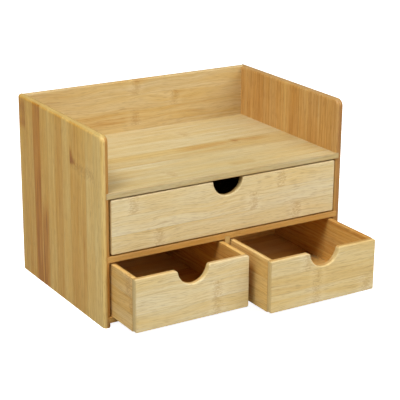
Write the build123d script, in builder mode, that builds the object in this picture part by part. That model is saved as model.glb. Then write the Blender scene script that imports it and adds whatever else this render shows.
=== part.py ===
from build123d import *
import os

# Desktop mini drawers: a bamboo case that stands on its two side panels. An open tray with a
# rim on three sides is on top, one full-width drawer under it, and two half-width drawers side
# by side at the bottom. Millimetres, +Z up, front towards -Y. The origin is on the floor, in
# the middle of the back panel's rear face.
#
# The shelves stand in dados cut right through to the front edge of the side panels, so their
# ends show there. The divider is let into the base and the middle shelf in the same way. Each
# drawer is five boards: a full-width front, two sides, a back between them and a bottom panel
# held in a groove on all four.

# ---- Case ----
case_width = 330.0
case_depth = 219.0
case_height = 228.0
side_thickness = 9.3
shelf_thickness = 7.3
back_thickness = 6.0
divider_thickness = 7.3
base_lift = 5.4             # from the floor to the underside of the base
small_bay_height = 66.1     # clear height over the base
wide_bay_height = 67.9      # clear height over the middle shelf

# ---- Case joints ----
dado_depth = 4.4            # how far the side panels are cut for the shelves and the back
divider_dado_depth = 3.5    # how far the base and the middle shelf are cut for the divider
glue_room = 0.1             # left free at the bottom of every dado

# ---- Case edges ----
rim_corner_radius = 9.0     # front top corner of each side panel, seen from the side
rim_round = 4.2             # front and top edges of the side panels
back_round = 2.5            # top edges of the back panel
shelf_ease = 0.8            # front edges of shelves and divider

# ---- Drawers ----
drawer_rear_gap = 6.5       # between a shut drawer and the back panel
front_thickness = 7.5
box_side_thickness = 6.0
box_back_thickness = 6.0
bottom_thickness = 3.5
bottom_lift = 4.3           # from a drawer's lower edge to the underside of its bottom panel
groove_depth = 3.0
groove_room = 0.15          # round the bottom panel, at its edges and over it
drawer_side_gap = 1.3       # between a drawer and the board beside it
drawer_run_gap = 0.3        # under a drawer's sides
wide_front_gap = 1.6        # under the wide drawer's front
wide_top_gap = 1.5          # over the wide drawer
small_front_gap = 0.6       # under the small drawers' fronts
small_top_gap = 2.0         # over the small drawers
left_pull = 55.0            # how far the left small drawer stands out
right_pull = 85.5           # how far the right small drawer stands out

# ---- Finger notches ----
notch_radius = 20.5
notch_rise = 1.0            # centre of the notch's circle over the front's top edge
wide_notch_ease = 1.0       # the two shoulders of the wide drawer's notch
small_notch_ease = 3.5      # the two shoulders of the small drawers' notches
front_corner_radius = 2.0   # outline of every front
front_ease = 1.2            # edges of every front's outer face
front_inner_ease = 0.6      # chamfer on the edges of every front's inner face
box_ease = 0.8              # top edges of drawer sides and backs

# ---- Levels and places that follow from them ----
base_top = base_lift + shelf_thickness
middle_bottom = base_top + small_bay_height
middle_top = middle_bottom + shelf_thickness
tray_bottom = middle_top + wide_bay_height
inner_half_width = case_width / 2 - side_thickness
tongue_half_width = inner_half_width + dado_depth - glue_room
bay_front = -case_depth
bay_back = -back_thickness
shelf_depth = case_depth - back_thickness
small_bay_inner_x = divider_thickness / 2
drawer_depth = shelf_depth - drawer_rear_gap

os.makedirs("parts", exist_ok=True)


def write(part, name):
    """Label a finished board and write its file."""
    part.label = name
    export_step(part, f"parts/{name}.step")


# ---- Side panels ----
# One panel is drawn by its inner face, and hand turns it into the left or the right one.
shelf_levels = (base_lift, middle_bottom, tray_bottom)

for side_name, hand in (("side_panel_left", -1), ("side_panel_right", 1)):
    inner_face_x = hand * inner_half_width
    outer_face_x = hand * case_width / 2
    with BuildPart() as side_panel:
        with BuildSketch(Plane.YZ.offset(min(inner_face_x, outer_face_x))):
            Rectangle(case_depth, case_height, align=(Align.MAX, Align.MIN))
            front_top_corner = vertices().group_by(Axis.Y)[-1].sort_by(Axis.X)[0]
            fillet(front_top_corner, radius=rim_corner_radius)
        extrude(amount=side_thickness)
        for face_edges in (edges().group_by(Axis.X)[0], edges().group_by(Axis.X)[-1]):
            front_and_top = face_edges.sort_by(Axis.Z)[1:].sort_by(Axis.Y)[:-1]
            fillet(front_and_top, radius=rim_round)
        for level in shelf_levels:
            with BuildSketch(Plane.XZ.offset(case_depth)):
                with Locations((inner_face_x, level + shelf_thickness / 2)):
                    Rectangle(2 * dado_depth, shelf_thickness)
            extrude(amount=-case_depth, mode=Mode.SUBTRACT)
        with BuildSketch(Plane.XY):
            with Locations((inner_face_x, 0)):
                Rectangle(2 * dado_depth, 2 * back_thickness)
        extrude(amount=case_height, mode=Mode.SUBTRACT)
    write(side_panel.part, side_name)

# ---- Back panel ----
# It stands on the floor between the sides, in a rebate that is open to the rear.
with BuildPart() as back_panel:
    with BuildSketch(Plane.XY):
        Rectangle(2 * tongue_half_width, back_thickness, align=(Align.CENTER, Align.MAX))
    extrude(amount=case_height)
    top_edges = edges().group_by(Axis.Z)[-1].filter_by(Axis.X)
    fillet(top_edges, radius=back_round)
write(back_panel.part, "back_panel")

# ---- Shelves ----
# Each is as wide as the dados are deep. The base carries the divider's lower edge, and the
# middle shelf is cut for its upper edge.
with BuildPart() as top_shelf:
    with BuildSketch(Plane.XY.offset(tray_bottom)):
        with Locations((0, bay_back)):
            Rectangle(2 * tongue_half_width, shelf_depth, align=(Align.CENTER, Align.MAX))
    extrude(amount=shelf_thickness)
    fillet(edges().filter_by(Axis.X).group_by(Axis.Y)[0], radius=shelf_ease)
write(top_shelf.part, "top_shelf")

with BuildPart() as middle_shelf:
    with BuildSketch(Plane.XY.offset(middle_bottom)):
        with Locations((0, bay_back)):
            Rectangle(2 * tongue_half_width, shelf_depth, align=(Align.CENTER, Align.MAX))
    extrude(amount=shelf_thickness)
    fillet(edges().filter_by(Axis.X).group_by(Axis.Y)[0], radius=shelf_ease)
    with BuildSketch(Plane.XY.offset(middle_bottom)):
        with Locations((0, bay_back)):
            Rectangle(divider_thickness, shelf_depth, align=(Align.CENTER, Align.MAX))
    extrude(amount=divider_dado_depth, mode=Mode.SUBTRACT)
write(middle_shelf.part, "middle_shelf")

with BuildPart() as base_shelf:
    with BuildSketch(Plane.XY.offset(base_lift)):
        with Locations((0, bay_back)):
            Rectangle(2 * tongue_half_width, shelf_depth, align=(Align.CENTER, Align.MAX))
    extrude(amount=shelf_thickness)
    fillet(edges().filter_by(Axis.X).group_by(Axis.Y)[0], radius=shelf_ease)
    with BuildSketch(Plane.XY.offset(base_top)):
        with Locations((0, bay_back)):
            Rectangle(divider_thickness, shelf_depth, align=(Align.CENTER, Align.MAX))
    extrude(amount=-divider_dado_depth, mode=Mode.SUBTRACT)
write(base_shelf.part, "base_shelf")

# ---- Centre divider ----
divider_bottom = base_top - divider_dado_depth + glue_room
divider_top = middle_bottom + divider_dado_depth - glue_room
with BuildPart() as centre_divider:
    with BuildSketch(Plane.XY.offset(divider_bottom)):
        with Locations((0, bay_back)):
            Rectangle(divider_thickness, shelf_depth, align=(Align.CENTER, Align.MAX))
    extrude(amount=divider_top - divider_bottom)
    fillet(edges().filter_by(Axis.Z).group_by(Axis.Y)[0], radius=shelf_ease)
write(centre_divider.part, "centre_divider")


# ---- Drawers ----
def build_drawer(name, left_x, right_x, floor_z, front_gap, top_z, pull, notch_ease):
    """Make the five boards of one drawer between two X places, over the shelf at floor_z."""
    middle_x = (left_x + right_x) / 2
    width = right_x - left_x
    inner_width = width - 2 * box_side_thickness
    box_bottom_z = floor_z + drawer_run_gap
    front_bottom_z = floor_z + front_gap
    front_face_y = bay_front - pull
    box_front_y = front_face_y + front_thickness
    box_rear_y = front_face_y + drawer_depth
    back_inner_y = box_rear_y - box_back_thickness
    groove_z = box_bottom_z + bottom_lift
    groove_height = bottom_thickness + groove_room
    panel_grip = groove_depth - groove_room

    with BuildPart() as front:
        with BuildSketch(Plane.XZ.offset(-front_face_y)):
            with Locations((middle_x, front_bottom_z)):
                Rectangle(width, top_z - front_bottom_z, align=(Align.CENTER, Align.MIN))
            fillet(vertices(), radius=front_corner_radius)
            with Locations((middle_x, top_z + notch_rise)):
                Circle(notch_radius, mode=Mode.SUBTRACT)
            shoulders = vertices().group_by(Axis.Y)[-1].sort_by(
                lambda corner: abs(corner.X - middle_x))[:2]
            fillet(shoulders, radius=notch_ease)
        extrude(amount=-front_thickness)
        fillet(faces().sort_by(Axis.Y)[0].edges(), radius=front_ease)
        chamfer(faces().sort_by(Axis.Y)[-1].edges(), length=front_inner_ease)
        with BuildSketch(Plane.XZ.offset(-box_front_y)):
            with Locations((middle_x, groove_z)):
                Rectangle(inner_width + 2 * groove_depth, groove_height,
                          align=(Align.CENTER, Align.MIN))
        extrude(amount=groove_depth, mode=Mode.SUBTRACT)
    write(front.part, f"{name}_front")

    for side_name, hand in (("left_side", -1), ("right_side", 1)):
        side_middle_x = middle_x + hand * (width - box_side_thickness) / 2
        side_inner_x = middle_x + hand * inner_width / 2
        with BuildPart() as box_side:
            with BuildSketch(Plane.XZ.offset(-box_front_y)):
                with Locations((side_middle_x, box_bottom_z)):
                    Rectangle(box_side_thickness, top_z - box_bottom_z,
                              align=(Align.CENTER, Align.MIN))
                with Locations((side_inner_x, groove_z)):
                    Rectangle(2 * groove_depth, groove_height,
                              align=(Align.CENTER, Align.MIN), mode=Mode.SUBTRACT)
            extrude(amount=box_front_y - box_rear_y)
            fillet(edges().filter_by(Axis.Y).group_by(Axis.Z)[-1], radius=box_ease)
        write(box_side.part, f"{name}_{side_name}")

    with BuildPart() as box_back:
        with BuildSketch(Plane.YZ.offset(middle_x - inner_width / 2)):
            with Locations((box_rear_y, box_bottom_z)):
                Rectangle(box_back_thickness, top_z - box_bottom_z,
                          align=(Align.MAX, Align.MIN))
            with Locations((back_inner_y, groove_z)):
                Rectangle(2 * groove_depth, groove_height,
                          align=(Align.CENTER, Align.MIN), mode=Mode.SUBTRACT)
        extrude(amount=inner_width)
        fillet(edges().filter_by(Axis.X).group_by(Axis.Z)[-1], radius=box_ease)
    write(box_back.part, f"{name}_back")

    panel_length = back_inner_y - box_front_y + 2 * panel_grip
    with BuildPart() as bottom:
        with BuildSketch(Plane.XY.offset(groove_z)):
            with Locations((middle_x, box_front_y - panel_grip)):
                Rectangle(inner_width + 2 * panel_grip, panel_length,
                          align=(Align.CENTER, Align.MIN))
        extrude(amount=bottom_thickness)
    write(bottom.part, f"{name}_bottom")


build_drawer(
    "wide_drawer",
    left_x=-inner_half_width + drawer_side_gap,
    right_x=inner_half_width - drawer_side_gap,
    floor_z=middle_top,
    front_gap=wide_front_gap,
    top_z=tray_bottom - wide_top_gap,
    pull=0.0,
    notch_ease=wide_notch_ease,
)
build_drawer(
    "left_drawer",
    left_x=-inner_half_width + drawer_side_gap,
    right_x=-small_bay_inner_x - drawer_side_gap,
    floor_z=base_top,
    front_gap=small_front_gap,
    top_z=middle_bottom - small_top_gap,
    pull=left_pull,
    notch_ease=small_notch_ease,
)
build_drawer(
    "right_drawer",
    left_x=small_bay_inner_x + drawer_side_gap,
    right_x=inner_half_width - drawer_side_gap,
    floor_z=base_top,
    front_gap=small_front_gap,
    top_z=middle_bottom - small_top_gap,
    pull=right_pull,
    notch_ease=small_notch_ease,
)
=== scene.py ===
"""Looks of the desktop mini drawers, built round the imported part.

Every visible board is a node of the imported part. This script gives each of them a procedural
bamboo finish whose strips, fibres and knuckles run the way they do on the real board, and adds
the floor, the lights and the camera. Lengths are metres in the scene and millimetres in the
finishes.
"""

import logging
import math
from dataclasses import dataclass
from enum import Enum

import bpy
import numpy as np
from mathutils import Matrix, Vector

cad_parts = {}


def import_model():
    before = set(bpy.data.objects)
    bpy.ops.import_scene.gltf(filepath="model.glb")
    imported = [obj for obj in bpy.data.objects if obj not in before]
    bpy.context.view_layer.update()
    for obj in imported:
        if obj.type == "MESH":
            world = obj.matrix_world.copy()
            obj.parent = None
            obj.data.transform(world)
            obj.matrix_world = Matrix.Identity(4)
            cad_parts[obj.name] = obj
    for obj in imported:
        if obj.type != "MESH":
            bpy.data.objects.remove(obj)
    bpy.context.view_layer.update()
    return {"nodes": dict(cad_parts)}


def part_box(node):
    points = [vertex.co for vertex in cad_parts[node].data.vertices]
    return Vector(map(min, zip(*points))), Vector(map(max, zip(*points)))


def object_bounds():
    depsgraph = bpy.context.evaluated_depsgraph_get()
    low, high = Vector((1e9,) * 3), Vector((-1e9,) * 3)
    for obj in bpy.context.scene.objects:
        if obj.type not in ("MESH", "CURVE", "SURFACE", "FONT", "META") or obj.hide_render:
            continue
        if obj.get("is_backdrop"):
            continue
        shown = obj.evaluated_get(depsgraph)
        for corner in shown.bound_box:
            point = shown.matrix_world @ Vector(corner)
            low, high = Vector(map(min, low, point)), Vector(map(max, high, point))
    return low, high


log = logging.getLogger("desktop_mini_drawers")

Socket = bpy.types.NodeSocket

MM = 0.001

# The photograph's width in pixels and the sensor that the focal length goes with.
IMAGE_WIDTH = 400.0
SENSOR_WIDTH_MM = 36.0

# A strip table holds lengths from minus to plus half of this, in millimetres.
TABLE_SPAN = 1000.0

# A knuckle placed here, in millimetres, is past the end of every board.
OFF_BOARD = -300.0

# What a board's colour is multiplied by where its cane is straw-coloured and where it is copper.
STRAW_TINT = "#FFFFFF"
COPPER_TINT = "#FFE6AA"

# How far apart the noise of two boards and of two strips lies.
SEED_STEP = 7.31
CANE_SHIFT = 431.7

# How many strips cover the case's depth, and the height of a drawer's boards.
DEPTH_STRIPS = 11
BOX_STRIPS = 4


class Axis(Enum):
    """An axis of the part, by its place in a coordinate."""

    X = 0
    Y = 1
    Z = 2


def linear_colour(hex_colour: str) -> tuple[float, float, float, float]:
    """Turn an sRGB hex colour into the linear colour that shader sockets hold.

    Args:
        hex_colour: Six hex digits, with or without a leading hash.

    Returns:
        Red, green and blue, linear, and an alpha of 1.
    """
    digits = hex_colour.lstrip("#")
    channels = np.array([int(digits[i:i + 2], 16) for i in (0, 2, 4)]) / 255.0
    low = channels / 12.92
    high = ((channels + 0.055) / 1.055) ** 2.4
    red, green, blue = np.where(channels <= 0.04045, low, high).tolist()
    return red, green, blue, 1.0


def direction(azimuth: float, elevation: float) -> Vector:
    """Give the unit vector from the object towards a place round it.

    Args:
        azimuth: Turn round the object in degrees, 0 from the front, left negative.
        elevation: Height above the horizon in degrees.

    Returns:
        The vector.
    """
    turn, rise = math.radians(azimuth), math.radians(elevation)
    return Vector((
        math.sin(turn) * math.cos(rise),
        -math.cos(turn) * math.cos(rise),
        math.sin(rise),
    ))


def add_node(
    tree: bpy.types.NodeTree,
    kind: str,
    settings: dict[str, object] | None = None,
    links: dict[int | str, object] | None = None,
) -> bpy.types.Node:
    """Add one node to a tree, set it up and link it.

    Args:
        tree: The tree that gets the node.
        kind: The node's type name, such as ShaderNodeMath.
        settings: Properties of the node by name.
        links: Inputs by place or name. An output socket is linked, and anything else is the
            input's own value.

    Returns:
        The new node.
    """
    node = tree.nodes.new(kind)
    for name, value in (settings or {}).items():
        setattr(node, name, value)
    for socket, value in (links or {}).items():
        if isinstance(value, Socket):
            tree.links.new(value, node.inputs[socket])
        else:
            node.inputs[socket].default_value = value
    return node


@dataclass(frozen=True)
class Stain:
    """A darker stretch of a strip.

    Attributes:
        middle: Its middle along the grain, in millimetres.
        reach: Half its length, in millimetres.
        depth: How much deeper its colour is, 0 to 1.
    """

    middle: float = 0.0
    reach: float = 60.0
    depth: float = 0.0


@dataclass(frozen=True)
class Strip:
    """One strip of cane in a pressed board. Places run along the grain from the low end, in mm.

    Attributes:
        tone: How deep its colour is, 0 pale to 1 deep.
        warmth: How reddish it is, 0 straw to 1 copper.
        knuckles: Two places where a knuckle of the cane crosses it. A place off the board
            hides it.
        flame: Strength of the browner wedge past a knuckle.
        stain: Its darker stretch.
    """

    tone: float
    warmth: float
    knuckles: tuple[float, float] = (OFF_BOARD, OFF_BOARD)
    flame: float = 0.1
    stain: Stain = Stain()


def drawn_strips(seed: int, count: int, length: float, depth: float) -> tuple[Strip, ...]:
    """Draw the strips of a board that the photograph shows no detail of.

    Args:
        seed: The seed of the draw.
        count: How many strips there are.
        length: The board's length along the grain, in millimetres.
        depth: How much deeper than usual the board's tones are.

    Returns:
        The drawn strips.
    """
    # A cane has a knuckle every 190 to 290 mm, and few of them have a strong wedge.
    random = np.random.RandomState(seed)
    tones = np.clip(random.normal(0.34 + depth, 0.11, count), 0.05, 0.95)
    warmths = random.uniform(0.35, 0.65, count)
    first = random.uniform(-0.35, 0.8, count) * length
    second = first + random.uniform(190.0, 290.0, count)
    flames = random.uniform(0.0, 0.4, count) ** 1.5
    columns = (tones, warmths, first, second, flames)
    return tuple(
        Strip(tone, warmth, (near, far), flame)
        for tone, warmth, near, far, flame in zip(*(column.tolist() for column in columns))
    )


@dataclass(frozen=True)
class BambooFinish:
    """Flat-pressed moso bamboo board, sanded and sealed with a satin clear lacquer.

    Strips of cane about 20 mm wide are glued edge to edge. Each has its own tone, long straight
    fibres that show as fine darker lines, and a knuckle about every 240 mm: a soft amber band
    across the strip, made of short dashes where the fibres bend, with a paler halo and
    sometimes a browner wedge on one side. On a sawn end the fibres show as dots. The lacquer
    gives a soft, broad sheen.

    Attributes:
        pale: Colour of the palest strips.
        honey: Colour of the usual strips.
        amber: Colour of the deeper strips.
        brown: Colour of the deepest streaks, and of the painted shade on the edges.
        fibre: Colour of the fine fibre lines.
        knuckle: Colour of the dashes at a knuckle.
        sawn: Colour of a sawn end.
        roughness: Roughness of the lacquered face.
    """

    pale: str
    honey: str
    amber: str
    brown: str
    fibre: str
    knuckle: str
    sawn: str
    roughness: float = 0.42


class Lot(Enum):
    """The lots of cane that the boards were pressed from."""

    SHELF = BambooFinish(
        pale="#D4CCAD", honey="#C9BA8F", amber="#BB9A64", brown="#9B7144",
        fibre="#916D42", knuckle="#A4793E", sawn="#C4B27F",
    )
    FRONT = BambooFinish(
        pale="#EDE6CB", honey="#E2D3A8", amber="#D0B178", brown="#AA7C4C",
        fibre="#9F7749", knuckle="#B28446", sawn="#D2B97F",
    )
    BACK = BambooFinish(
        pale="#DBD1B5", honey="#CFBD93", amber="#C19F67", brown="#9F7345",
        fibre="#956D41", knuckle="#A5773E", sawn="#BFAA78",
    )
    SIDE = BambooFinish(
        pale="#ECD088", honey="#DFBB6B", amber="#CF9C4D", brown="#AC7335",
        fibre="#A26D31", knuckle="#A67135", sawn="#C6AA65",
    )
    WARM_SIDE = BambooFinish(
        pale="#DBC088", honey="#D0A86B", amber="#BD8F51", brown="#996431",
        fibre="#91602F", knuckle="#94602E", sawn="#B8935A",
    )
    BOX = BambooFinish(
        pale="#E8CE95", honey="#DDBD7B", amber="#CC9D57", brown="#A66E35",
        fibre="#9C6932", knuckle="#A66F32", sawn="#C9A868",
    )


@dataclass(frozen=True)
class Noise:
    """A noise that is drawn out along the grain.

    Attributes:
        along: Its feature length along the grain, in millimetres.
        across: Its feature width across the grain, in millimetres.
        detail: Octaves of finer noise.
        roughness: How strong the finer octaves are.
        shift: Moves the pattern, so that no two layers match.
    """

    along: float
    across: float
    detail: float
    roughness: float
    shift: float


class Layer(Enum):
    """The noises that a board is drawn with."""

    # These sway the fibres and shake the knuckles.
    SWAY = Noise(75.0, 24.0, 1.0, 0.5, 3.1)
    RAGGED = Noise(9.0, 2.6, 2.0, 0.6, 11.7)
    # These move the depth of colour and the warmth.
    BROAD = Noise(240.0, 7.0, 3.0, 0.55, 5.3)
    STREAKS = Noise(95.0, 2.4, 3.0, 0.6, 23.9)
    DRIFT = Noise(130.0, 16.0, 2.0, 0.5, 83.9)
    # Real fibre bundles are 0.4 mm wide, and are drawn at 1 mm so that they show.
    FIBRES = Noise(46.0, 1.0, 2.0, 0.65, 41.3)
    # Vessel ends that the sanding opened are 0.3 mm wide, and are drawn at 0.9 mm.
    FLECKS = Noise(13.0, 0.9, 1.0, 0.5, 91.7)
    # These draw the dashes at a knuckle and break up its band.
    DASHES = Noise(3.4, 1.3, 1.0, 0.5, 67.1)
    PATCHES = Noise(7.0, 4.0, 1.0, 0.5, 57.3)


@dataclass(frozen=True)
class Turn:
    """A smooth turn from one number into another, while the value that is read changes.

    Attributes:
        start: The value at which it starts.
        end: The value at which it ends, which may be the lower one.
        before: The number at its start.
        after: The number at its end.
    """

    start: float
    end: float
    before: float = 0.0
    after: float = 1.0


@dataclass(frozen=True)
class Marks:
    """How strong each mark of the bamboo and of the painted shade is and where it fades, the same
    on every board.
    """

    # Added to the depth of colour.
    broad_depth: float = 0.8
    streak_depth: float = 1.1
    # The band of painted shade on the edges deepens the colour by this much.
    painted_shade_depth: float = 0.5
    halo_depth: float = -0.12

    # Where each colour stands in the depth of colour, between pale at 0 and brown at 1.
    honey_place: float = 0.38
    amber_place: float = 0.74

    # How far the warmth drifts within a strip.
    warmth_drift: float = 1.1

    # How much of a mark's own colour is mixed in where it is at its strongest.
    # The band of painted shade multiplies in this much brown.
    painted_shade_share: float = 0.36
    fibre_share: float = 0.4
    fleck_share: float = 0.36
    dash_share: float = 0.42
    band_share: float = 0.3
    glue_share: float = 0.2
    dot_share: float = 0.5
    sawn_share: float = 0.8

    # A knuckle bows by a quarter of the first number towards the strip's edges, and noise moves
    # it by half of the second either way, in millimetres.
    knuckle_bow: float = 8.0
    knuckle_rag: float = 5.0

    # The browner wedge crosses its strip over this many millimetres, from this share on.
    wedge_length: float = 28.0
    wedge_start: float = 0.15

    # Read from the distance to a knuckle, in millimetres.
    halo: Turn = Turn(17.0, 6.0)
    dash_reach: Turn = Turn(10.0, 3.5)
    band_reach: Turn = Turn(7.0, 1.5)
    wedge_reach: Turn = Turn(-3.0, 1.5)

    # Read from a noise of its own.
    fibres: Turn = Turn(0.5, 0.72)
    flecks: Turn = Turn(0.54, 0.68)
    dashes: Turn = Turn(0.48, 0.62)
    patches: Turn = Turn(0.38, 0.62)

    # Read from the narrow streaks, which make a mark patchy.
    stain_patches: Turn = Turn(0.2, 0.6, 0.5, 1.1)
    wedge_patches: Turn = Turn(0.25, 0.6, 0.4, 1.15)
    # Makes the painted shade on the eased edges patchy.
    painted_edge_shade_patches: Turn = Turn(0.3, 0.6, 0.6, 1.0)

    # Read from a share of the stain's half length and from shares of the strip's width.
    stain_length: Turn = Turn(1.0, 0.55)
    stain_width: Turn = Turn(0.5, 0.3)
    wedge_width: Turn = Turn(-0.1, 0.55)

    # Read from the distance to the glue line and to the board's edge, in millimetres. A glue
    # line is 0.2 mm wide, and is drawn at about 0.5 mm so that it shows.
    glue: Turn = Turn(0.55, 0.15)
    # Painted shade along the board's eased edges.
    painted_edge_shade: Turn = Turn(1.5, 0.3)

    # How far past its start the band of painted shade takes to come in, and where it ends below
    # the high face, in millimetres.
    painted_shade_fade: float = 1.2
    painted_shade_stop: Turn = Turn(-0.1, -0.4)

    # Read from how squarely a surface faces along the grain.
    end_on: Turn = Turn(0.55, 0.85)

    # Fibre ends are 0.4 mm wide dots, and are drawn about 1 mm apart so that they show. They
    # hardly change along the grain.
    dot_scale: float = 0.95
    dot_scale_along: float = 0.01
    dot_scatter: float = 0.85
    dots: Turn = Turn(0.36, 0.2)

    # How far a mark stands out of the face or into it, as a share of the bump's height.
    fibre_relief: float = -0.6
    knuckle_relief: float = 0.7
    glue_groove: float = 0.8

    # How much rougher the fibre lines and the sawn ends are.
    fibre_roughness: float = 0.12
    sawn_roughness: float = 0.14


@dataclass(frozen=True)
class PaintedShade:
    """A darker band through a board's thickness, which shows on its edges: painted shade on the
    side of each edge turned from the key light.

    Attributes:
        start: How far from the board's low face it starts, in millimetres. It reaches to just
            short of the high face.
        depth: How much deeper it is, 0 to 1.
    """

    start: float
    depth: float


@dataclass(frozen=True)
class Board:
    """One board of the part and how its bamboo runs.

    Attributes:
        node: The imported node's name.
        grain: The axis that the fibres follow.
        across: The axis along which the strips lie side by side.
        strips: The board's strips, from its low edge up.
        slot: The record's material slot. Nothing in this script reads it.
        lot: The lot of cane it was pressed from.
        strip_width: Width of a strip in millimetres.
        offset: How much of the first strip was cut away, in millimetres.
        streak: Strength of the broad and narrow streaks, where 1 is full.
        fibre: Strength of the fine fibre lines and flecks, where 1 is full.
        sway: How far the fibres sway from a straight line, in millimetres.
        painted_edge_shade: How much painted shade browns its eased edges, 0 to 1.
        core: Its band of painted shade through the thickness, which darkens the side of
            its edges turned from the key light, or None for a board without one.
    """

    node: str
    grain: Axis
    across: Axis
    strips: tuple[Strip, ...]
    slot: str
    lot: Lot
    strip_width: float = 20.0
    offset: float = 0.0
    streak: float = 0.5
    fibre: float = 0.5
    sway: float = 4.0
    painted_edge_shade: float = 0.4
    core: PaintedShade | None = None

    @property
    def through(self) -> Axis:
        """The axis from one face of the board to the other."""
        return next(axis for axis in Axis if axis not in (self.grain, self.across))


@dataclass(frozen=True)
class Spot:
    """Sockets that tell where a shaded point lies on its board, in millimetres.

    Attributes:
        sides: Its distances from the board's low sides, along x, y and z.
        normal: The way that the surface faces there.
        along: Its place along the grain.
        across: Its place across the strips.
        depth: Its place through the board.
        index: The number of its strip.
        share: How far across its strip it lies, 0 to 1.
    """

    sides: tuple[Socket, Socket, Socket]
    normal: Socket
    along: Socket
    across: Socket
    depth: Socket
    index: Socket
    share: Socket


@dataclass(frozen=True)
class Cane:
    """Sockets that hold a strip's numbers, and the point's place in the strip's cane.

    Attributes:
        tone: How deep its colour is.
        warmth: How reddish it is.
        knuckles: The places of its knuckles along the grain.
        flame: Strength of the browner wedge.
        stain_middle: The middle of its darker stretch.
        stain_reach: Half the length of that stretch.
        stain_depth: How much deeper that stretch is.
        own: The point's place in the cane, along, across and through it.
    """

    tone: Socket
    warmth: Socket
    knuckles: tuple[Socket, Socket]
    flame: Socket
    stain_middle: Socket
    stain_reach: Socket
    stain_depth: Socket
    own: tuple[Socket, Socket, Socket]


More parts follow.
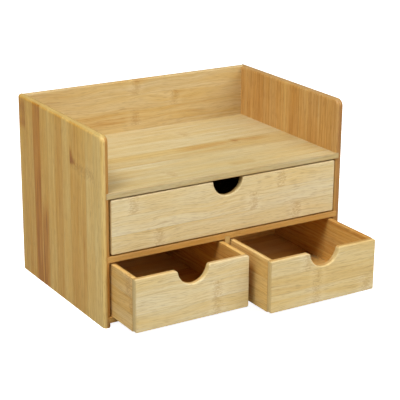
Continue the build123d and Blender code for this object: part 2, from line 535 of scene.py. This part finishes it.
class BambooMaterial:
    """The node tree of one board's finish.

    Attributes:
        spot: Where the point lies on the board.
        cane: Its strip's numbers, and its place in the strip's cane.
        past: How far past the nearer knuckle it lies, in millimetres.
        streaks: The narrow streaks there, 0 to 1.
    """

    def __init__(self, board: Board, seed: float, low: Vector, high: Vector) -> None:
        """Start the tree with what the marks are drawn from.

        Args:
            board: The board to finish.
            seed: Shifts the board's noise, so that no two boards match.
            low: The board's lowest corner, in metres.
            high: The board's highest corner, in metres.
        """
        self.board = board
        self.finish: BambooFinish = board.lot.value
        self.marks = Marks()
        self.seed = seed
        self.size = tuple(float(top - bottom) / MM for bottom, top in zip(low, high))
        self.material = bpy.data.materials.new(f"bamboo_satin_{board.node}")
        self.material.use_nodes = True
        self.tree = self.material.node_tree
        self.tree.nodes.clear()
        self.spot = self.find_spot(low)
        self.cane = self.find_cane()
        self.past = self.past_knuckle()
        self.streaks = self.noise(Layer.STREAKS, self.cane.own)

    def math(self, operation: str, *values: object) -> Socket:
        """Add one sum and return its result.

        Args:
            operation: The math node's operation.
            values: Its inputs, each a socket or a number.

        Returns:
            The result's socket.
        """
        links = dict(enumerate(values))
        return add_node(self.tree, "ShaderNodeMath", {"operation": operation}, links).outputs[0]

    def smooth(self, value: Socket, turn: Turn) -> Socket:
        """Turn a value smoothly from one number into another.

        Args:
            value: The socket to read.
            turn: Where it turns, and into what.

        Returns:
            The result's socket.
        """
        settings = {"interpolation_type": "SMOOTHSTEP"}
        links = {0: value, 1: turn.start, 2: turn.end, 3: turn.before, 4: turn.after}
        return add_node(self.tree, "ShaderNodeMapRange", settings, links).outputs[0]

    def swing(self, noise: Socket, width: float, middle: Socket) -> Socket:
        """Let a noise from 0 to 1 swing a value by half the width to either side."""
        return self.math("MULTIPLY_ADD", self.math("SUBTRACT", noise, 0.5), width, middle)

    def blend(self, factor: object, first: object, second: object, kind: str = "MIX") -> Socket:
        """Mix two colours.

        Args:
            factor: How much of the second colour there is.
            first: The first colour.
            second: The second colour.
            kind: The blend type.

        Returns:
            The mixed colour's socket.
        """
        settings = {"data_type": "RGBA", "blend_type": kind, "clamp_factor": True}
        links = {0: factor, 6: first, 7: second}
        return add_node(self.tree, "ShaderNodeMix", settings, links).outputs[2]

    def paint(self, colour: Socket, mark: Socket, share: float, paint: str, kind: str = "MIX"
              ) -> Socket:
        """Paint a mark over a colour.

        Args:
            colour: The colour to paint over.
            mark: Where the mark is, 0 to 1.
            share: How much paint there is where the mark is at its strongest.
            paint: The paint's colour.
            kind: The blend type.

        Returns:
            The painted colour's socket.
        """
        return self.blend(self.math("MULTIPLY", mark, share), colour, linear_colour(paint), kind)

    def noise(self, layer: Layer, own: tuple[Socket, Socket, Socket]) -> Socket:
        """Add a noise that is drawn out along the grain.

        Args:
            layer: The noise to add.
            own: The point's place in its cane, along, across and through it.

        Returns:
            The noise's socket, about 0 to 1.
        """
        noise: Noise = layer.value
        along, across, depth = own
        vector = add_node(self.tree, "ShaderNodeCombineXYZ", None, {
            0: self.math("MULTIPLY_ADD", along, 1.0 / noise.along, noise.shift + self.seed),
            1: self.math("DIVIDE", across, noise.across),
            2: self.math("DIVIDE", depth, noise.across),
        }).outputs[0]
        return add_node(self.tree, "ShaderNodeTexNoise", None, {
            "Vector": vector, "Scale": 1.0, "Detail": noise.detail, "Roughness": noise.roughness,
        }).outputs[0]

    def ramp(self, place: Socket, stops: list[tuple[float, tuple[float, float, float, float]]],
             interpolation: str) -> bpy.types.Node:
        """Add a colour ramp.

        Args:
            place: The socket that picks a colour.
            stops: At least two stops, each a place from 0 to 1 and four numbers.
            interpolation: How the ramp goes from stop to stop.

        Returns:
            The ramp's node.
        """
        node = add_node(self.tree, "ShaderNodeValToRGB", None, {0: place})
        node.color_ramp.interpolation = interpolation
        elements = node.color_ramp.elements
        while len(elements) < len(stops):
            elements.new(1.0)
        for element, (position, colour) in zip(elements, stops):
            element.position, element.color = position, colour
        return node

    def table(self, index: Socket, rows: list[tuple[float, float, float, float]]
              ) -> tuple[Socket, Socket, Socket, Socket]:
        """Look up four numbers from 0 to 1 for each strip, in a stepped colour ramp.

        Args:
            index: The strip's number.
            rows: Four numbers for each strip.

        Returns:
            Four sockets, one for each number.
        """
        count = len(rows)
        place = self.math("DIVIDE", self.math("ADD", index, 0.5), float(count))
        stops = [(number / count, row) for number, row in enumerate(rows)]
        colour, alpha = self.ramp(place, stops, "CONSTANT").outputs
        parts = add_node(self.tree, "ShaderNodeSeparateColor", None, {0: colour}).outputs
        return parts[0], parts[1], parts[2], alpha

    @staticmethod
    def to_table(length: float) -> float:
        """Turn millimetres into the 0 to 1 that a table holds."""
        return length / TABLE_SPAN + 0.5

    def from_table(self, value: Socket) -> Socket:
        """Turn a table's 0 to 1 back into millimetres."""
        return self.math("MULTIPLY", self.math("SUBTRACT", value, 0.5), TABLE_SPAN)

    def find_spot(self, low: Vector) -> Spot:
        """Work out where the point lies on the board, from the board's lowest corner."""
        board = self.board
        coordinate = add_node(self.tree, "ShaderNodeTexCoord").outputs
        local = add_node(self.tree, "ShaderNodeMapping", {"vector_type": "POINT"}, {
            0: coordinate["Object"],
            "Location": tuple(-value / MM for value in low),
            "Scale": (1.0 / MM,) * 3,
        }).outputs[0]
        sides = tuple(add_node(self.tree, "ShaderNodeSeparateXYZ", None, {0: local}).outputs)
        across = sides[board.across.value]
        place = self.math("DIVIDE", self.math("ADD", across, board.offset), board.strip_width)
        return Spot(
            sides=sides,
            normal=coordinate["Normal"],
            along=sides[board.grain.value],
            across=across,
            depth=sides[board.through.value],
            index=self.math("FLOOR", place),
            share=self.math("FRACT", place),
        )

    def find_cane(self) -> Cane:
        """Look up the point's strip and find its place in the strip's cane.

        Every strip comes from another cane, so its fibres start somewhere else. They sway a
        little from a straight line.

        Returns:
            The strip's numbers and the point's place in it.
        """
        spot, strips = self.spot, self.board.strips
        near, far, tone, warmth = self.table(spot.index, [
            (*map(self.to_table, strip.knuckles), strip.tone, strip.warmth) for strip in strips
        ])
        middle, reach, depth, flame = self.table(spot.index, [
            (self.to_table(strip.stain.middle), self.to_table(strip.stain.reach),
             strip.stain.depth, strip.flame)
            for strip in strips
        ])
        along = self.math("MULTIPLY_ADD", spot.index, CANE_SHIFT, spot.along)
        sway = self.noise(Layer.SWAY, (along, spot.across, spot.depth))
        across = self.swing(sway, 2.0 * self.board.sway, spot.across)
        return Cane(
            tone=tone,
            warmth=warmth,
            knuckles=(self.from_table(near), self.from_table(far)),
            flame=flame,
            stain_middle=self.from_table(middle),
            stain_reach=self.from_table(reach),
            stain_depth=depth,
            own=(along, across, spot.depth),
        )

    def past_knuckle(self) -> Socket:
        """Measure how far past the nearer knuckle the point lies.

        The knuckle is bowed across the strip as a parabola of the share, and made ragged by
        noise.

        Returns:
            The distance in millimetres, below 0 before the knuckle.
        """
        from_middle = self.math("SUBTRACT", self.spot.share, 0.5)
        bow = self.math("MULTIPLY", self.math("POWER", from_middle, 2.0), self.marks.knuckle_bow)
        shaken = self.swing(self.noise(Layer.RAGGED, self.cane.own), self.marks.knuckle_rag, bow)
        near, far = (
            self.math("ADD", self.math("SUBTRACT", self.spot.along, place), shaken)
            for place in self.cane.knuckles
        )
        nearer = self.math("LESS_THAN", self.math("ABSOLUTE", far), self.math("ABSOLUTE", near))
        return add_node(self.tree, "ShaderNodeMix", {"data_type": "FLOAT"}, {
            0: nearer, 2: near, 3: far,
        }).outputs[0]

    def stain(self) -> Socket:
        """Find the strip's darker stretch.

        It fades towards its ends and towards the strip's edges, and is patchy.

        Returns:
            The stretch's socket, 0 to about 1.
        """
        spot, cane, marks = self.spot, self.cane, self.marks
        distance = self.math("ABSOLUTE", self.math("SUBTRACT", spot.along, cane.stain_middle))
        length = self.smooth(self.math("DIVIDE", distance, cane.stain_reach), marks.stain_length)
        from_middle = self.math("ABSOLUTE", self.math("SUBTRACT", spot.share, 0.5))
        stain = self.math("MULTIPLY", length, self.smooth(from_middle, marks.stain_width))
        return self.math("MULTIPLY", stain, self.smooth(self.streaks, marks.stain_patches))

    def wedge(self) -> Socket:
        """Find the browner wedge past a knuckle.

        It starts at the knuckle and draws back across the strip with the distance past it, and
        is patchy.

        Returns:
            The wedge's socket, 0 to about 1.
        """
        past, marks = self.past, self.marks
        narrowing = self.math("MULTIPLY_ADD", past, 1.0 / marks.wedge_length, marks.wedge_start)
        wedge = self.smooth(self.math("SUBTRACT", self.spot.share, narrowing), marks.wedge_width)
        wedge = self.math("MULTIPLY", wedge, self.smooth(past, marks.wedge_reach))
        return self.math("MULTIPLY", wedge, self.smooth(self.streaks, marks.wedge_patches))

    def core(self, core: PaintedShade) -> Socket:
        """Find the band of painted shade through the board's thickness, which darkens the side of
        its edges turned from the key light.

        Args:
            core: Where the band lies.

        Returns:
            The band's socket, 0 to 1.
        """
        depth, stop = self.spot.depth, self.marks.painted_shade_stop
        thickness = self.size[self.board.through.value]
        rise = Turn(core.start, core.start + self.marks.painted_shade_fade)
        fall = Turn(thickness + stop.start, thickness + stop.end)
        return self.math("MULTIPLY", self.smooth(depth, rise), self.smooth(depth, fall))

    def wood(self) -> Socket:
        """Colour the board by its depth of colour and its warmth.

        The depth of colour is the strip's own, with broad and narrow streaks, the darker
        stretch, the wedge past a knuckle, the paler halo round it and the band of painted shade.

        Returns:
            The colour's socket.
        """
        board, finish, marks, cane = self.board, self.finish, self.marks, self.cane
        broad = self.noise(Layer.BROAD, cane.own)
        level = self.swing(broad, marks.broad_depth * board.streak, cane.tone)
        level = self.swing(self.streaks, marks.streak_depth * board.streak, level)
        level = self.math("MULTIPLY_ADD", self.stain(), cane.stain_depth, level)
        level = self.math("MULTIPLY_ADD", self.wedge(), cane.flame, level)
        halo = self.smooth(self.math("ABSOLUTE", self.past), marks.halo)
        level = self.math("MULTIPLY_ADD", halo, marks.halo_depth, level)
        # Painted shade: a band through the thickness deepens the side of the edges turned from
        # the key light.
        core = self.core(board.core) if board.core else None
        if core:
            level = self.math("MULTIPLY_ADD", core, marks.painted_shade_depth * board.core.depth, level)

        colour = self.ramp(level, [
            (0.0, linear_colour(finish.pale)),
            (marks.honey_place, linear_colour(finish.honey)),
            (marks.amber_place, linear_colour(finish.amber)),
            (1.0, linear_colour(finish.brown)),
        ], "LINEAR").outputs[0]
        warmth = self.swing(self.noise(Layer.DRIFT, cane.own), marks.warmth_drift, cane.warmth)
        tint = self.blend(warmth, linear_colour(STRAW_TINT), linear_colour(COPPER_TINT))
        colour = self.blend(1.0, colour, tint, "MULTIPLY")
        # Painted shade: the same band is multiplied with brown.
        if core:
            share = marks.painted_shade_share * board.core.depth
            colour = self.paint(colour, core, share, finish.brown, "MULTIPLY")
        return colour

    def knuckle(self) -> Socket:
        """Draw a knuckle's mark: a soft patchy band, and short dashes where the fibres bend.

        Returns:
            The mark's socket, 0 to 1.
        """
        own, marks = self.cane.own, self.marks
        distance = self.math("ABSOLUTE", self.past)
        dashes = self.smooth(self.noise(Layer.DASHES, own), marks.dashes)
        dashes = self.math("MULTIPLY", dashes, self.smooth(distance, marks.dash_reach))
        patches = self.smooth(self.noise(Layer.PATCHES, own), marks.patches)
        band = self.math("MULTIPLY", self.smooth(distance, marks.band_reach), patches)
        return self.math("MAXIMUM", self.math("MULTIPLY", dashes, marks.dash_share),
                         self.math("MULTIPLY", band, marks.band_share))

    def painted_edge_shade(self) -> Socket:
        """Find the eased edges, which are browned with painted shade.

        An edge is near where the board's second nearest side is close, and that distance is the
        middle one of the three distances to its sides.

        Returns:
            The painted edge shade's socket, 0 to 1.
        """
        x, y, z = (
            self.math("MINIMUM", value, self.math("SUBTRACT", size, value))
            for value, size in zip(self.spot.sides, self.size)
        )
        lower, upper = self.math("MINIMUM", x, y), self.math("MAXIMUM", x, y)
        second = self.math("MAXIMUM", lower, self.math("MINIMUM", upper, z))
        patches = self.smooth(self.streaks, self.marks.painted_edge_shade_patches)
        return self.math("MULTIPLY", self.smooth(second, self.marks.painted_edge_shade), patches)

    def sawn(self) -> Socket:
        """Colour a sawn end, where the fibres end as dots.

        Returns:
            The colour's socket.
        """
        spot, marks = self.spot, self.marks
        place = add_node(self.tree, "ShaderNodeCombineXYZ", None, {
            0: self.math("MULTIPLY", spot.across, marks.dot_scale),
            1: self.math("MULTIPLY", spot.depth, marks.dot_scale),
            2: self.math("MULTIPLY", spot.along, marks.dot_scale_along),
        }).outputs[0]
        distance = add_node(self.tree, "ShaderNodeTexVoronoi", {"feature": "F1"}, {
            "Vector": place, "Scale": 1.0, "Randomness": marks.dot_scatter,
        }).outputs["Distance"]
        dots = self.math("MULTIPLY", self.smooth(distance, marks.dots), marks.dot_share)
        return self.blend(dots, linear_colour(self.finish.sawn), linear_colour(self.finish.fibre))

    def build(self) -> bpy.types.Material:
        """Finish the tree: the wood, each mark painted over it, and the lacquered surface.

        Returns:
            The material.
        """
        board, finish, marks, spot = self.board, self.finish, self.marks, self.spot
        fibres = self.smooth(self.noise(Layer.FIBRES, self.cane.own), marks.fibres)
        flecks = self.smooth(self.noise(Layer.FLECKS, self.cane.own), marks.flecks)
        knuckle = self.knuckle()
        to_edge = self.math("MINIMUM", spot.share, self.math("SUBTRACT", 1.0, spot.share))
        glue = self.smooth(self.math("MULTIPLY", to_edge, board.strip_width), marks.glue)
        facing = add_node(self.tree, "ShaderNodeSeparateXYZ", None, {0: spot.normal}).outputs
        end_on = self.smooth(self.math("ABSOLUTE", facing[board.grain.value]), marks.end_on)

        colour = self.wood()
        colour = self.paint(colour, fibres, marks.fibre_share * board.fibre, finish.fibre)
        colour = self.paint(colour, flecks, marks.fleck_share * board.fibre, finish.fibre)
        colour = self.blend(knuckle, colour, linear_colour(finish.knuckle))
        colour = self.paint(colour, glue, marks.glue_share, finish.fibre)
        # Painted shade browns the eased edges.
        colour = self.paint(colour, self.painted_edge_shade(), board.painted_edge_shade, finish.brown)
        colour = self.blend(self.math("MULTIPLY", end_on, marks.sawn_share), colour, self.sawn())

        relief = self.math("MULTIPLY_ADD", fibres, marks.fibre_relief,
                           self.math("MULTIPLY", knuckle, marks.knuckle_relief))
        relief = self.math("SUBTRACT", relief, self.math("MULTIPLY", glue, marks.glue_groove))
        rough = self.math("MULTIPLY_ADD", fibres, marks.fibre_roughness, finish.roughness)
        rough = self.math("MULTIPLY_ADD", end_on, marks.sawn_roughness, rough)
        self.lacquer(colour, relief, rough)
        return self.material

    def lacquer(self, colour: Socket, relief: Socket, rough: Socket) -> None:
        """Put the sealed surface on the tree.

        Args:
            colour: The wood's colour.
            relief: The surface's height, about -1 to 1, where 1 is a tenth of a millimetre.
            rough: The surface's roughness.
        """
        normal = add_node(self.tree, "ShaderNodeBump", None, {
            "Strength": 0.35, "Distance": 0.1 * MM, "Height": relief,
        }).outputs[0]
        shader = add_node(self.tree, "ShaderNodeBsdfPrincipled", None, {
            "Base Color": colour,
            "Roughness": rough,
            "IOR": 1.5,
            "Specular IOR Level": 0.3,
            "Coat Weight": 0.1,
            "Coat Roughness": 0.24,
            "Coat IOR": 1.5,
            "Normal": normal,
        })
        add_node(self.tree, "ShaderNodeOutputMaterial", None, {0: shader.outputs[0]})


@dataclass(frozen=True)
class Case:
    """The case: two side panels, the back, three shelves and the divider.

    Attributes:
        width: Its width over the shelves' ends, in millimetres.
        depth: Its depth in millimetres.
        height: Its height in millimetres.
    """

    width: float = 320.0
    depth: float = 219.0
    height: float = 228.0

    def boards(self) -> list[Board]:
        """List the case's boards."""
        side = {"grain": Axis.Z, "across": Axis.Y, "slot": "bamboo_side", "sway": 1.2}
        shelf = {"grain": Axis.X, "across": Axis.Y, "slot": "bamboo_shelf"}
        return [
            # The side panels' browner eased edges and darker bands through the thickness are
            # painted shade.
            Board("side_panel_left", strips=self.left_strips(), lot=Lot.SIDE, streak=0.85,
                  fibre=0.85, painted_edge_shade=0.2, core=PaintedShade(3.6, 1.0), **side),
            Board("side_panel_right", strips=drawn_strips(21, DEPTH_STRIPS, self.height, 0.1),
                  lot=Lot.WARM_SIDE, streak=1.0, fibre=1.0, painted_edge_shade=0.3, core=PaintedShade(1.4, 0.5), **side),
            Board("back_panel", Axis.X, Axis.Z, self.back_strips(), "bamboo_back", Lot.BACK,
                  offset=12.0, streak=0.75, fibre=0.7, sway=7.0),
            Board("top_shelf", strips=self.top_strips(), lot=Lot.SHELF, offset=4.0, streak=0.75,
                  fibre=0.7, **shelf),
            Board("middle_shelf", strips=drawn_strips(9, DEPTH_STRIPS, self.width, 0.2),
                  lot=Lot.BOX, **shelf),
            Board("base_shelf", strips=drawn_strips(10, DEPTH_STRIPS, self.width, 0.1),
                  lot=Lot.BOX, **shelf),
            Board("centre_divider", Axis.Y, Axis.Z,
                  drawn_strips(11, BOX_STRIPS, self.depth, 0.1), "bamboo_shelf", Lot.BOX),
        ]

    @staticmethod
    def left_strips() -> tuple[Strip, ...]:
        """List the left side panel's strips, from the front."""
        return (
            Strip(0.18, 0.1),
            Strip(0.16, 0.25, (177.0, OFF_BOARD)),
            Strip(0.38, 0.45, (176.0, OFF_BOARD), stain=Stain(60.0, 90.0, 0.12)),
            Strip(0.44, 0.55, (179.0, OFF_BOARD), flame=0.85),
            Strip(0.20, 0.4),
            Strip(0.50, 0.5),
            Strip(0.26, 0.42),
            Strip(0.40, 0.55, stain=Stain(30.0, 90.0, 0.4)),
            Strip(0.72, 0.74, stain=Stain(60.0, 110.0, 0.16)),
            Strip(0.40, 0.55, stain=Stain(70.0, 100.0, 0.1)),
            Strip(0.40, 0.5, (212.0, OFF_BOARD), stain=Stain(206.0, 22.0, 0.4)),
        )

    @staticmethod
    def back_strips() -> tuple[Strip, ...]:
        """List the back panel's strips, from the bottom. The lower ones hide behind drawers."""
        hidden = tuple(Strip(0.30 + 0.03 * (number % 3), 0.52) for number in range(9))
        return hidden + (
            Strip(0.40, 0.62, (154.0, OFF_BOARD), stain=Stain(120.0, 60.0, 0.15)),
            Strip(0.32, 0.59, (212.0, OFF_BOARD), flame=0.3),
            Strip(0.30, 0.65, (155.0, OFF_BOARD), flame=0.2),
        )

    @staticmethod
    def top_strips() -> tuple[Strip, ...]:
        """List the tray floor's strips, from the front."""
        return (
            Strip(0.30, 0.5),
            Strip(0.26, 0.47, (100.0, OFF_BOARD), stain=Stain(196.0, 22.0, 0.2)),
            Strip(0.32, 0.44),
            Strip(0.22, 0.44),
            Strip(0.38, 0.47),
            Strip(0.34, 0.56, (236.0, OFF_BOARD), flame=0.35, stain=Stain(220.0, 80.0, 0.3)),
            Strip(0.22, 0.44),
            Strip(0.20, 0.44),
            Strip(0.24, 0.44, (198.0, OFF_BOARD)),
            Strip(0.22, 0.44),
            Strip(0.26, 0.5),
        )


@dataclass(frozen=True)
class Drawer:
    """One drawer of five boards.

    Attributes:
        name: The drawer's body in the part.
        seed: The seed of its hidden boards.
        front: The strips of its front, from the bottom.
        strip_width: Their width in millimetres.
        side_length: Length of a side along the grain, in millimetres.
        back_length: Length that the knuckles of the back are drawn over, in millimetres. It is
            the wide drawer's, and so is the next one.
        bottom_length: Length that the knuckles of the bottom are drawn over, in millimetres.
    """

    name: str
    seed: int
    front: tuple[Strip, ...]
    strip_width: float
    side_length: float = 199.0
    back_length: float = 297.0
    bottom_length: float = 303.0

    def boards(self) -> list[Board]:
        """List the drawer's boards."""
        name, seed = self.name, self.seed
        # The browner eased edges and the darker bands through the thickness set here are painted
        # shade.
        side = {"grain": Axis.Y, "across": Axis.Z, "slot": "bamboo_drawer_box", "lot": Lot.BOX,
                "streak": 1.05, "fibre": 0.9, "painted_edge_shade": 0.15}
        return [
            Board(f"{name}_front", Axis.X, Axis.Z, self.front, "bamboo_front", Lot.FRONT,
                  strip_width=self.strip_width, streak=0.52, fibre=0.8, sway=6.0, painted_edge_shade=0.25,
                  core=PaintedShade(2.4, 0.7)),
            Board(f"{name}_left_side", core=PaintedShade(2.6, 0.6),
                  strips=drawn_strips(seed, BOX_STRIPS, self.side_length, -0.03), **side),
            Board(f"{name}_right_side",
                  strips=drawn_strips(seed + 1, BOX_STRIPS, self.side_length, 0.2), **side),
            Board(f"{name}_back", Axis.X, Axis.Z,
                  drawn_strips(seed + 2, BOX_STRIPS, self.back_length, 0.12),
                  "bamboo_drawer_box", Lot.BOX, streak=0.8, fibre=0.8, painted_edge_shade=0.15),
            Board(f"{name}_bottom", Axis.X, Axis.Y,
                  drawn_strips(seed + 3, DEPTH_STRIPS, self.bottom_length, 0.1),
                  "bamboo_drawer_bottom", Lot.BOX, streak=0.6),
        ]


DRAWERS = (
    Drawer("wide_drawer", seed=40, strip_width=21.8, front=(
        Strip(0.26, 0.47, (62.6, 253.0)),
        Strip(0.20, 0.44, (191.0, OFF_BOARD)),
        Strip(0.24, 0.5, (29.6, 230.4)),
        Strip(0.24, 0.5),
    )),
    Drawer("left_drawer", seed=50, strip_width=21.4, front=(
        Strip(0.34, 0.5, (107.0, OFF_BOARD)),
        Strip(0.20, 0.44, (107.0, OFF_BOARD)),
        Strip(0.24, 0.5),
        Strip(0.24, 0.5),
    )),
    Drawer("right_drawer", seed=60, strip_width=21.4, front=(
        Strip(0.34, 0.58, (65.0, 138.0)),
        Strip(0.44, 0.64, (66.0, OFF_BOARD)),
        Strip(0.34, 0.6, (52.0, OFF_BOARD)),
        Strip(0.36, 0.58),
    )),
)


@dataclass(frozen=True)
class SoftBox:
    """One soft rectangular studio light.

    Attributes:
        name: Its name.
        azimuth: Where it stands round the object, in degrees from the front, left negative.
        elevation: How high it stands, in degrees.
        distance: How far it is from the object, in metres.
        width: Its width in metres.
        height: Its height in metres.
        power: Its power in watts.
    """

    name: str
    azimuth: float
    elevation: float
    distance: float
    width: float
    height: float
    power: float

    def add(self, target: Vector) -> None:
        """Put the light in the scene, aimed at a point.

        Args:
            target: The point it faces.
        """
        back = direction(self.azimuth, self.elevation)
        light = bpy.data.lights.new(self.name, "AREA")
        light.shape = "RECTANGLE"
        light.size, light.size_y = self.width, self.height
        light.energy = self.power
        lamp = bpy.data.objects.new(self.name, light)
        lamp.location = target + back * self.distance
        lamp.rotation_euler = back.to_track_quat("Z", "Y").to_euler()
        bpy.context.scene.collection.objects.link(lamp)


@dataclass(frozen=True)
class Studio:
    """The floor, the surroundings and the lights.

    The picture is a cut-out on pure white, and the object is lit by soft boxes alone. So the
    floor and the surroundings are white to the camera. As lights, the floor is a duller paper
    that only sends the soft boxes' light back, and the surroundings give none.

    Attributes:
        floor_radius: Radius of the floor's disc, in metres.
        floor_rings: How many rings of points the disc has.
        floor_sides: How many points a ring has.
        floor_colour: The paper's colour as the camera sees it.
        floor_bounce: The paper's colour as the object is lit by it.
        floor_glow: How much white is added to the paper that the camera sees.
        world_colour: Colour of the surroundings.
        lights: The soft boxes.
    """

    floor_radius: float = 9.0
    floor_rings: int = 4
    floor_sides: int = 96
    floor_colour: str = "#F4F3F1"
    floor_bounce: str = "#B4B3B1"
    floor_glow: float = 0.95
    world_colour: str = "#FFFFFF"
    lights: tuple[SoftBox, ...] = (
        SoftBox("soft_box_key", -64.0, 55.0, 2.4, 0.9, 0.9, 35.0),
        SoftBox("soft_box_left", -90.0, 30.0, 2.4, 1.6, 1.6, 8.0),
        SoftBox("soft_box_top", 0.0, 80.0, 2.2, 1.6, 1.6, 14.0),
        SoftBox("soft_box_back", 180.0, 55.0, 2.4, 1.6, 1.6, 8.0),
        SoftBox("soft_box_right", 38.0, 32.0, 2.4, 1.6, 1.6, 28.0),
        SoftBox("soft_box_front", 0.0, 12.0, 2.4, 1.6, 1.6, 12.0),
    )

    def build(self, target: Vector) -> None:
        """Make the floor, the world and the lights.

        Args:
            target: The point that the lights face.
        """
        self.floor()
        self.world()
        for light in self.lights:
            light.add(target)

    def floor(self) -> None:
        """Make the floor and mark it as the stage."""
        mesh = self.floor_mesh()
        mesh.materials.append(self.floor_paper())
        floor = bpy.data.objects.new("studio_floor", mesh)
        bpy.context.scene.collection.objects.link(floor)
        floor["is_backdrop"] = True

    def floor_mesh(self) -> bpy.types.Mesh:
        """Make a flat disc of points at radius r and turn a, at (r cos a, r sin a, 0).

        The radii grow with the square of the ring's number, and the middle is a fan.

        Returns:
            The disc.
        """
        radii = self.floor_radius * (np.arange(1, self.floor_rings + 1) / self.floor_rings) ** 2
        turns = np.arange(self.floor_sides) * 2.0 * np.pi / self.floor_sides
        points = np.zeros((radii.size * turns.size + 1, 3))
        points[1:, 0] = np.outer(radii, np.cos(turns)).ravel()
        points[1:, 1] = np.outer(radii, np.sin(turns)).ravel()
        step = np.arange(self.floor_sides)
        after = (step + 1) % self.floor_sides
        faces = np.stack([np.zeros_like(step), step + 1, after + 1], 1).tolist()
        for ring in range(self.floor_rings - 1):
            inner = 1 + ring * self.floor_sides
            outer = inner + self.floor_sides
            corners = [inner + step, outer + step, outer + after, inner + after]
            faces += np.stack(corners, 1).tolist()
        mesh = bpy.data.meshes.new("studio_floor")
        mesh.from_pydata(points.tolist(), [], faces)
        mesh.update()
        return mesh

    def floor_paper(self) -> bpy.types.Material:
        """Make the paper: white to the camera, and a duller one for the light on the object."""
        material = bpy.data.materials.new("studio_floor_paper")
        material.use_nodes = True
        tree = material.node_tree
        tree.nodes.clear()
        seen = add_node(tree, "ShaderNodeBsdfPrincipled", None, {
            "Base Color": linear_colour(self.floor_colour),
            "Roughness": 0.9,
            "Specular IOR Level": 0.1,
            "Emission Color": (1.0, 1.0, 1.0, 1.0),
            "Emission Strength": self.floor_glow,
        })
        lighting = add_node(tree, "ShaderNodeBsdfDiffuse", None, {
            "Color": linear_colour(self.floor_bounce),
        })
        path = add_node(tree, "ShaderNodeLightPath")
        both = add_node(tree, "ShaderNodeMixShader", None, {
            0: path.outputs["Is Camera Ray"], 1: lighting.outputs[0], 2: seen.outputs[0],
        })
        add_node(tree, "ShaderNodeOutputMaterial", None, {0: both.outputs[0]})
        return material

    def world(self) -> None:
        """Make the plain surroundings, white to the camera and dark as a light."""
        world = bpy.data.worlds.new("studio")
        world.use_nodes = True
        tree = world.node_tree
        tree.nodes.clear()
        path = add_node(tree, "ShaderNodeLightPath")
        background = add_node(tree, "ShaderNodeBackground", None, {
            0: linear_colour(self.world_colour), 1: path.outputs["Is Camera Ray"],
        })
        add_node(tree, "ShaderNodeOutputWorld", None, {0: background.outputs[0]})
        bpy.context.scene.world = world


@dataclass(frozen=True)
class Viewpoint:
    """The camera, worked out from the case's corners in the photograph.

    Attributes:
        azimuth: Turn round the object in degrees, 0 from the front, left negative.
        elevation: Height above the horizon in degrees.
        roll: Turn about the line of sight in degrees.
        focal_pixels: Focal length in pixels of a picture IMAGE_WIDTH wide.
        place: The lens's place in millimetres.
    """

    azimuth: float = -31.58
    elevation: float = 18.73
    roll: float = 0.45
    focal_pixels: float = 1329.75
    place: tuple[float, float, float] = (-799.99, -1457.59, 626.93)

    def build(self) -> None:
        """Make the camera and use it."""
        back, roll = direction(self.azimuth, self.elevation), math.radians(self.roll)
        level = (-back).cross(Vector((0.0, 0.0, 1.0))).normalized()
        upright = level.cross(-back)
        right = math.cos(roll) * level + math.sin(roll) * upright
        up = -math.sin(roll) * level + math.cos(roll) * upright
        data = bpy.data.cameras.new("photo_view")
        data.sensor_width = SENSOR_WIDTH_MM
        data.lens = self.focal_pixels / IMAGE_WIDTH * SENSOR_WIDTH_MM
        data.clip_start, data.clip_end = 0.05, 60.0
        camera = bpy.data.objects.new("photo_view", data)
        camera.matrix_world = Matrix.Translation(Vector(self.place) * MM) @ Matrix(
            (right, up, back)).transposed().to_4x4()
        bpy.context.scene.collection.objects.link(camera)
        bpy.context.scene.camera = camera


def dress(nodes: dict[str, bpy.types.Object], boards: list[Board]) -> None:
    """Give each board its finish.

    Args:
        nodes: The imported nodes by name.
        boards: The boards to dress.
    """
    for board in boards:
        piece = nodes[board.node]
        low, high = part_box(board.node)
        seed = SEED_STEP * (sorted(nodes).index(board.node) + 1)
        material = BambooMaterial(board, seed, low, high).build()
        piece.data.materials.clear()
        piece.data.materials.append(material)
        log.info("dressed %s with %d strips", board.node, len(board.strips))


def main() -> None:
    """Build the looks in order."""
    logging.basicConfig(level=logging.INFO, format="%(name)s: %(message)s")
    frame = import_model()
    for assembly in (Case(), *DRAWERS):
        dress(frame["nodes"], assembly.boards())
    low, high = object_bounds()
    Studio().build((low + high) / 2)
    Viewpoint().build()
    bpy.context.scene.view_settings.view_transform = "Standard"


if __name__ == "__main__":
    main()
